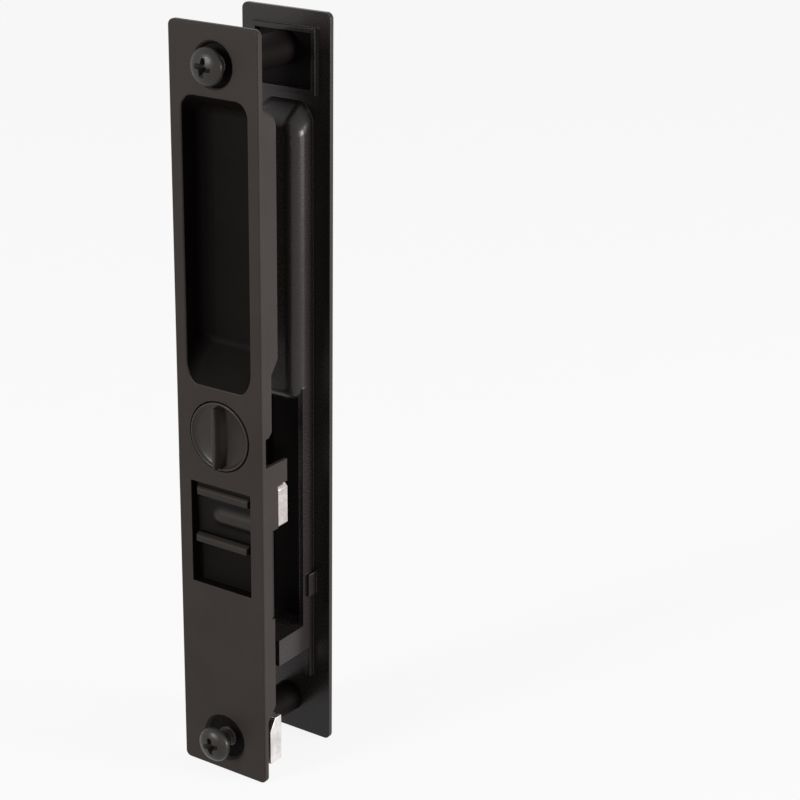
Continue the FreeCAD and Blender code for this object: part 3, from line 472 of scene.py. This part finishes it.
def screwHead(size):
    # The head stands on the plane y = 0 and points to the room
    radius, height = size["headRadius"], size["headHeight"]
    side, small = size["sideHeight"], size["sideRound"]
    points = [(0, 0), (radius - small, 0), (radius, -small), (radius, -side)]
    for step in range(1, size["domeSteps"] + 1):
        turn = math.pi / 2 * step / size["domeSteps"]
        points.append((radius * math.cos(turn), -side - (height - side) * math.sin(turn)))
    head = bmesh.new()
    spinProfile(head, points, size["headSteps"])
    cutter = bmesh.new()
    half, wide = size["recessLength"] / 2, size["recessWidth"] / 2
    inner = size["recessWidth"] * size["wingRoot"]
    tipLong, tipWide = size["wingTip"]
    wing = [(half * tipLong, wide * tipWide), (half * size["wingSide"], wide), (inner, wide)]
    outline = []
    for quarter in range(4):
        turn = Matrix.Rotation(quarter * math.pi / 2, 2)
        outline += [turn @ Vector((x, -z)) for x, z in wing[:2]][::-1]
        outline += [turn @ Vector(point) for point in wing]
    over, flare = size["recessOver"], size["recessFlare"]
    corners = [cutter.verts.new((x * flare, -height - over, z * flare)) for x, z in outline]
    grown = bmesh.ops.extrude_face_region(cutter, geom=[cutter.faces.new(corners)])
    moved = [thing for thing in grown["geom"] if isinstance(thing, bmesh.types.BMVert)]
    bmesh.ops.translate(cutter, verts=moved, vec=(0, size["recessDepth"] + over, 0))
    bmesh.ops.scale(cutter, verts=moved, vec=(size["recessTaper"], 1, size["recessTaper"]))
    bmesh.ops.recalc_face_normals(cutter, faces=cutter.faces)
    return subtract(head, cutter)


def screwThread(size):
    # One pitch of the thread's section, carried round the shank as a helix and cut square at both ends
    bm = bmesh.new()
    crest, root = size["threadRadius"], size["rootRadius"]
    pitch, length = size["pitch"], size["shankLength"]
    chain = [bm.verts.new((size[radius], (share - 1) * pitch, 0)) for radius, share in size["threadForm"]]
    edges = [bm.edges.new(pair) for pair in zip(chain, chain[1:])]
    turns = math.ceil(length / pitch) + size["spareTurns"]
    steps = size["stepsPerTurn"]
    bmesh.ops.spin(bm, geom=chain + edges, cent=(0, 0, 0), axis=(0, 1, 0), angle=math.tau * turns,
                   steps=turns * steps, dvec=(0, pitch / steps, 0))
    bmesh.ops.remove_doubles(bm, verts=bm.verts, dist=tiny)
    for along, side in ((-size["sunk"], -1), (length, 1)):
        bmesh.ops.bisect_plane(bm, geom=bm.verts[:] + bm.edges[:] + bm.faces[:], plane_co=(0, along, 0),
                               plane_no=(0, side, 0), clear_outer=True)
        rim = [edge for edge in bm.edges if edge.is_boundary and abs(edge.verts[0].co.y - along) < tiny
               and abs(edge.verts[1].co.y - along) < tiny]
        bmesh.ops.edgenet_fill(bm, edges=rim)
    start = length - size["tip"]
    for vert in bm.verts:     # the tip is turned down to a short cone
        over = (vert.co.y - start) / size["tip"]
        if over > 0:
            limit = crest - over * (crest - root) * size["tipSlope"]
            out = math.hypot(vert.co.x, vert.co.z)
            if out > limit:
                vert.co.x *= limit / out
                vert.co.z *= limit / out
    closeUp(bm)
    return bm


def makeClampScrew(node):
    size = clampScrew
    low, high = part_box(node)
    bm = screwHead(size)
    joinInto(bm, screwThread(size))
    place = Vector(((low.x + high.x) / 2, low.y + size["headHeight"], (low.z + high.z) / 2))
    turned = Matrix.Rotation(math.radians(size["turned"][node]), 3, "Y")
    bmesh.ops.rotate(bm, verts=bm.verts, cent=(0, 0, 0), matrix=turned)
    bmesh.ops.translate(bm, verts=bm.verts, vec=place)
    newPiece(node + "_threaded", bm, node, finishes["screw_black"])


for node in clampScrew["turned"]:
    makeClampScrew(node)
print("clamping screws made")


# Thumb turn: the carried disc with a newly turned front and a smooth lens-shaped grip

thumbGrip = {
    "radius": 8.5 * mm,
    "rimWidth": 0.7 * mm,
    "wallRun": 0.38 * mm,         # how far the dish's wall leans in
    "frontDepth": 0.95 * mm,      # where the new front begins, below the room face
    "floorDepth": 0.8 * mm,       # of the dish
    "proud": 2.5 * mm,            # of the crest, above the room face
    "rimProud": 0.25 * mm,
    "sunk": 0.15 * mm,            # how far the grip's foot goes into the dish
    "footHalfWidth": 1.9 * mm,
    "footHalfLength": 8.05 * mm,
    "crestHalfWidth": 0.55 * mm,
    "crestHalfLength": 7.8 * mm,
    "fullness": 0.72,             # under 1 the lens has fuller ends
    "hollow": 1.5,                # over 1 the flanks are hollow
    "crestRound": 0.28 * mm,
    "roundTurns": (30, 60, 90),   # degrees at which a round gets a ring
    "levels": 9,
    "steps": 72,
    "discSteps": 96,
}


def gripShell(size):
    # Lens-shaped rings from the foot in the dish up to the round crest, bridged and closed at both ends
    bm = bmesh.new()
    foot, crest = roomFace + size["floorDepth"] + size["sunk"], roomFace - size["proud"]
    height = foot - crest
    shares = [step / size["levels"] * (1 - size["crestRound"] / height) for step in range(size["levels"] + 1)]
    outlines = [(share, 0) for share in shares]
    for turn in size["roundTurns"]:     # the round over to the crest
        lift, inset = math.sin(math.radians(turn)), 1 - math.cos(math.radians(turn))
        outlines.append((shares[-1] + lift * size["crestRound"] / height, inset * size["crestRound"]))
    rings = []
    for share, inset in outlines:
        left = (1 - min(share, 1)) ** size["hollow"]
        narrow, wide = size["crestHalfWidth"], size["footHalfWidth"]
        short, long = size["crestHalfLength"], size["footHalfLength"]
        halfWidth = narrow + (wide - narrow) * left - inset
        halfLength = short + (long - short) * left - inset
        ring = bmesh.ops.create_circle(bm, segments=size["steps"], radius=1)["verts"]
        for vert in ring:
            across = math.copysign(abs(vert.co.x) ** size["fullness"], vert.co.x)
            vert.co = (across * halfWidth, foot - share * height, vert.co.y * halfLength + turnMiddle.z)
        rings.append(ring)
    loops = [[edge for edge in bm.edges if edge.verts[0] in ring and edge.verts[1] in ring]
             for ring in (set(ring) for ring in rings)]
    for lower, upper in zip(loops, loops[1:]):
        bmesh.ops.bridge_loops(bm, edges=lower + upper)
    for ends in (loops[0], loops[-1]):
        bmesh.ops.edgeloop_fill(bm, edges=ends)
    closeUp(bm)
    return bm


def dishAndRim(size):
    # The front of the disc, turned in one go: floor, rim with its round, and the outer wall
    radius, back, floor = size["radius"], size["frontDepth"], size["floorDepth"]
    inner, small = radius - size["rimWidth"], size["rimProud"]
    points = [(0, back), (radius, back)]
    for turn in (0, *size["roundTurns"]):      # the round of the rim's outer edge
        angle = math.radians(turn)
        points.append((radius - small * (1 - math.cos(angle)), -small * math.sin(angle)))
    points += [(inner, -small), (inner - size["wallRun"], floor), (0, floor)]
    front = bmesh.new()
    spinProfile(front, points, size["discSteps"])
    bmesh.ops.translate(front, verts=front.verts, vec=(turnMiddle.x, roomFace, turnMiddle.z))
    return front


def makeThumbTurn():
    # The carried disc is cut off behind its dish, and the new front and grip are set on it
    size = thumbGrip
    bm = mergedCopy("thumb_turn")
    cutAt = (0, roomFace + size["frontDepth"], 0)
    bmesh.ops.bisect_plane(bm, geom=bm.verts[:] + bm.edges[:] + bm.faces[:], plane_co=cutAt,
                           plane_no=(0, -1, 0), clear_outer=True)
    bmesh.ops.holes_fill(bm, edges=[edge for edge in bm.edges if edge.is_boundary])
    joinInto(bm, dishAndRim(size))
    joinInto(bm, gripShell(size))
    newPiece("thumb_turn_finished", bm, "thumb_turn", finishes["turn_finish"])


makeThumbTurn()
print("thumb turn made")


# Latch slider: a thumb piece with a swell between two ribs, its neck and its two studs

latchSlider = {
    "back": 2.7 * mm,             # depths below the room face
    "lip": 1.4 * mm,
    "groove": 1.6 * mm,
    "swell": 0.85 * mm,
    "pan": 1.9 * mm,
    "lipDrop": 3.5 * mm,          # drops below the slider's top
    "grooveDrop": 4.5 * mm,
    "swellDrop": 7.9 * mm,
    "panDrop": 11.3 * mm,
    "curveSteps": 14,
    "swellFrom": -5.5 * mm,       # the swell starts and is full at these places across
    "swellFull": -1.0 * mm,
    "stretches": 24,
    "sideRound": 0.22 * mm,
    "upperRib": (1.7 * mm, 0.5 * mm, 1.5 * mm),    # top, depth of the crest, depth of the foot
    "lowerRib": (13.7 * mm, -0.1 * mm, 2.0 * mm),
    "ribWidth": 1.8 * mm,
    "ribSlope": 0.6 * mm,
    "ribSideInset": 0.9 * mm,
    "ribRound": 0.42 * mm,
    "ribSegments": 4,
    "neckHalfWidth": 4.2 * mm,
    "neckTop": 1.4 * mm,
    "neckLength": 7.0 * mm,
    "neckBack": 3.75 * mm,
    "neckSunk": 0.1 * mm,         # how far the neck goes into the slider
    "studRadius": 1.2 * mm,
    "studSteps": 32,
    "studSpacing": 5.0 * mm,
    "studBack": 4.9 * mm,
}


def easedStretch(first, last, steps):
    # Points of a soft curve that leaves and arrives square, without its first point
    points = []
    for step in range(1, steps + 1):
        share = step / steps
        soft = (1 - math.cos(math.pi * share)) / 2
        points.append((first[0] + (last[0] - first[0]) * soft, first[1] + (last[1] - first[1]) * share))
    return points


def profileSolid(outline, half, stretches=1):
    # Extrudes an outline of (depth, drop) points across the slider, in equal stretches
    bm = bmesh.new()
    verts = [bm.verts.new((-half, roomFace + depth, sliderHigh.z - drop)) for depth, drop in outline]
    face = bm.faces.new(verts)
    for _ in range(stretches):
        grown = bmesh.ops.extrude_face_region(bm, geom=[face])["geom"]
        moved = [thing for thing in grown if isinstance(thing, bmesh.types.BMVert)]
        face = [thing for thing in grown if isinstance(thing, bmesh.types.BMFace)][0]
        bmesh.ops.translate(bm, verts=moved, vec=(2 * half / stretches, 0, 0))
    bmesh.ops.recalc_face_normals(bm, faces=bm.faces)
    return bm


def fadeSwell(bm, size):
    # Across the slider, the swell starts left of the middle and is soon full
    first, full = size["swellFrom"], size["swellFull"]
    for vert in bm.verts:
        drop, depth = sliderHigh.z - vert.co.z, vert.co.y - roomFace
        if not size["grooveDrop"] < drop < size["panDrop"] or depth > size["pan"]:
            continue
        along = (drop - size["grooveDrop"]) / (size["panDrop"] - size["grooveDrop"])
        plain = size["groove"] + (size["pan"] - size["groove"]) * along
        share = min(max((vert.co.x - first) / (full - first), 0), 1)
        eased = share * share * (3 - 2 * share)
        vert.co.y = roomFace + plain + (depth - plain) * eased


def makeRib(size, top, crest, foot):
    # A rib with a flat, rounded crest and a slope above it
    half = sliderHigh.x - size["ribSideInset"]
    width = size["ribWidth"]
    outline = [(foot, top + width), (crest, top + width), (crest, top), (foot, top - size["ribSlope"])]
    bm = profileSolid(outline, half)
    level = roomFace + crest
    front = [edge for edge in bm.edges if all(abs(vert.co.y - level) < tiny for vert in edge.verts)]
    roundEdges(bm, front, size["ribRound"], size["ribSegments"])
    return bm


def makeSlider():
    size = latchSlider
    length = sliderHigh.z - sliderLow.z
    face = [(size["lip"], size["lipDrop"])]
    for depth, drop in ((size["groove"], size["grooveDrop"]), (size["swell"], size["swellDrop"]),
                        (size["pan"], size["panDrop"])):
        face += easedStretch(face[-1], (depth, drop), size["curveSteps"])
    outline = [(size["back"], 0), (size["lip"], 0)] + face + [(size["pan"], length), (size["back"], length)]
    bm = profileSolid(outline, sliderHigh.x, size["stretches"])
    fadeSwell(bm, size)
    sides = [edge for edge in bm.edges if all(abs(abs(vert.co.x) - sliderHigh.x) < tiny
                                              for vert in edge.verts)]
    roundEdges(bm, sides, size["sideRound"])
    for rib in ("upperRib", "lowerRib"):
        joinInto(bm, makeRib(size, *size[rib]))
    neckTop = sliderHigh.z - size["neckTop"]
    halfNeck, neckFront = size["neckHalfWidth"], roomFace + size["back"] - size["neckSunk"]
    boxShell(bm, (-halfNeck, neckFront, neckTop - size["neckLength"]),
             (halfNeck, roomFace + size["neckBack"], neckTop))
    middle = neckTop - size["neckLength"] / 2
    radius, studLength = size["studRadius"], size["studBack"] - size["back"]
    for sign in (-1, 1):
        stud = bmesh.ops.create_cone(bm, cap_ends=True, segments=size["studSteps"], radius1=radius,
                                     radius2=radius, depth=studLength)["verts"]
        bmesh.ops.rotate(bm, verts=stud, cent=(0, 0, 0), matrix=Matrix.Rotation(math.pi / 2, 3, "X"))
        bmesh.ops.translate(bm, verts=stud, vec=(0, roomFace + (size["back"] + size["studBack"]) / 2,
                                                 middle + sign * size["studSpacing"] / 2))
    bmesh.ops.recalc_face_normals(bm, faces=bm.faces)
    newPiece("latch_slider_finished", bm, "latch_slider", finishes["slider_finish"])


makeSlider()
print("latch slider made")


# Studio: pale floor, soft lamps and the camera

studio = {
    "white": (1, 1, 1, 1),
    "floorSize": 6.0,
    "floorGap": 0.05 * mm,
    "floorGlow": 0.88,        # share of the floor that shows as plain white
    "floorWhite": 0.92,
    "floorRoughness": 0.9,
    "floorGrey": 0.42,        # how much light the floor throws back at the object
    "worldStrength": 0.34,
    "lamps": {                # place, size in metres and power in watts
        "key": ((-0.41, -1.09, 0.31), 0.35, 9.4),
        "side": ((1.18, 0.36, 0.05), 0.50, 22.5),
    },
}


def mixByRay(tree, seen, unseen):
    # seen shows to the camera and in mirrors, unseen lights the object
    path = tree.nodes.new("ShaderNodeLightPath")
    most = None
    for name in ("Is Camera Ray", "Is Glossy Ray", "Is Transmission Ray"):
        if most is None:
            most = path.outputs[name]
            continue
        join = tree.nodes.new("ShaderNodeMath")
        join.operation = "MAXIMUM"
        tree.links.new(most, join.inputs[0])
        tree.links.new(path.outputs[name], join.inputs[1])
        most = join.outputs[0]
    mix = tree.nodes.new("ShaderNodeMixShader")
    tree.links.new(most, mix.inputs[0])
    tree.links.new(unseen, mix.inputs[1])
    tree.links.new(seen, mix.inputs[2])
    return mix.outputs[0]


def makeFloor():
    # The floor shows almost white, but the light that it throws on the object is a grey floor's
    bm = bmesh.new()
    bmesh.ops.create_grid(bm, x_segments=1, y_segments=1, size=studio["floorSize"] / 2)
    mesh = bpy.data.meshes.new("floor")
    bm.to_mesh(mesh)
    bm.free()
    floor = bpy.data.objects.new("floor", mesh)
    bpy.context.scene.collection.objects.link(floor)
    floor.location.z = cadLow.z - studio["floorGap"]
    material, tree, shader = newMaterial("pale floor")
    shader.inputs["Base Color"].default_value = (studio["floorWhite"],) * 3 + (1,)
    shader.inputs["Roughness"].default_value = studio["floorRoughness"]
    shader.inputs["Specular IOR Level"].default_value = 0.0
    grey = tree.nodes.new("ShaderNodeBsdfDiffuse")
    grey.inputs["Color"].default_value = (studio["floorGrey"],) * 3 + (1,)
    glow = tree.nodes.new("ShaderNodeEmission")
    glow.inputs["Color"].default_value = studio["white"]
    glow.inputs["Strength"].default_value = 1.0
    part = tree.nodes.new("ShaderNodeMixShader")
    part.inputs[0].default_value = studio["floorGlow"]
    tree.links.new(shader.outputs[0], part.inputs[1])
    tree.links.new(glow.outputs[0], part.inputs[2])
    tree.links.new(mixByRay(tree, part.outputs[0], grey.outputs[0]),
                   tree.nodes["Material Output"].inputs["Surface"])
    mesh.materials.append(material)


def makeWorld():
    # The world shows white and lights the object more softly
    world = bpy.data.worlds.new("studio")
    bpy.context.scene.world = world
    world.use_nodes = True
    tree = world.node_tree
    plain = tree.nodes["Background"]
    plain.inputs["Color"].default_value = studio["white"]
    plain.inputs["Strength"].default_value = studio["worldStrength"]
    shown = tree.nodes.new("ShaderNodeBackground")
    shown.inputs["Color"].default_value = studio["white"]
    shown.inputs["Strength"].default_value = 1.0
    tree.links.new(mixByRay(tree, shown.outputs[0], plain.outputs[0]),
                   tree.nodes["World Output"].inputs["Surface"])


def makeLamp(name, place, size, power):
    data = bpy.data.lights.new(name, "AREA")
    data.shape = "SQUARE"
    data.size = size
    data.energy = power
    lamp = bpy.data.objects.new(name, data)
    bpy.context.scene.collection.objects.link(lamp)
    lamp.location = place
    lamp.rotation_mode = "QUATERNION"
    lamp.rotation_quaternion = Vector(place).to_track_quat("Z", "Y")


makeFloor()
makeWorld()
for name, (place, size, power) in studio["lamps"].items():
    makeLamp(name, place, size, power)

cameraSet = {
    "azimuth": 33.51,         # degrees from the front to the right
    "elevation": 20.71,
    "roll": 0.84,
    "distance": 453.5 * mm,
    "aim": (50.75 * mm, -14.2 * mm, 16.77 * mm),
    "lens": 93.32,            # focal length in millimetres
    "clip": (0.01, 20),       # nearest and farthest place seen, in metres
}


def makeCamera():
    data = bpy.data.cameras.new("camera")
    camera = bpy.data.objects.new("camera", data)
    bpy.context.scene.collection.objects.link(camera)
    turn, rise = math.radians(cameraSet["azimuth"]), math.radians(cameraSet["elevation"])
    back = Vector((math.sin(turn) * math.cos(rise), -math.cos(turn) * math.cos(rise), math.sin(rise)))
    camera.location = Vector(cameraSet["aim"]) + back * cameraSet["distance"]
    camera.rotation_mode = "QUATERNION"
    roll = Quaternion((0, 0, 1), math.radians(cameraSet["roll"]))
    camera.rotation_quaternion = back.to_track_quat("Z", "Y") @ roll
    data.lens = cameraSet["lens"]
    data.clip_start, data.clip_end = cameraSet["clip"]
    bpy.context.scene.camera = camera


makeCamera()
bpy.context.scene.view_settings.view_transform = "Standard"
print("studio and camera set")
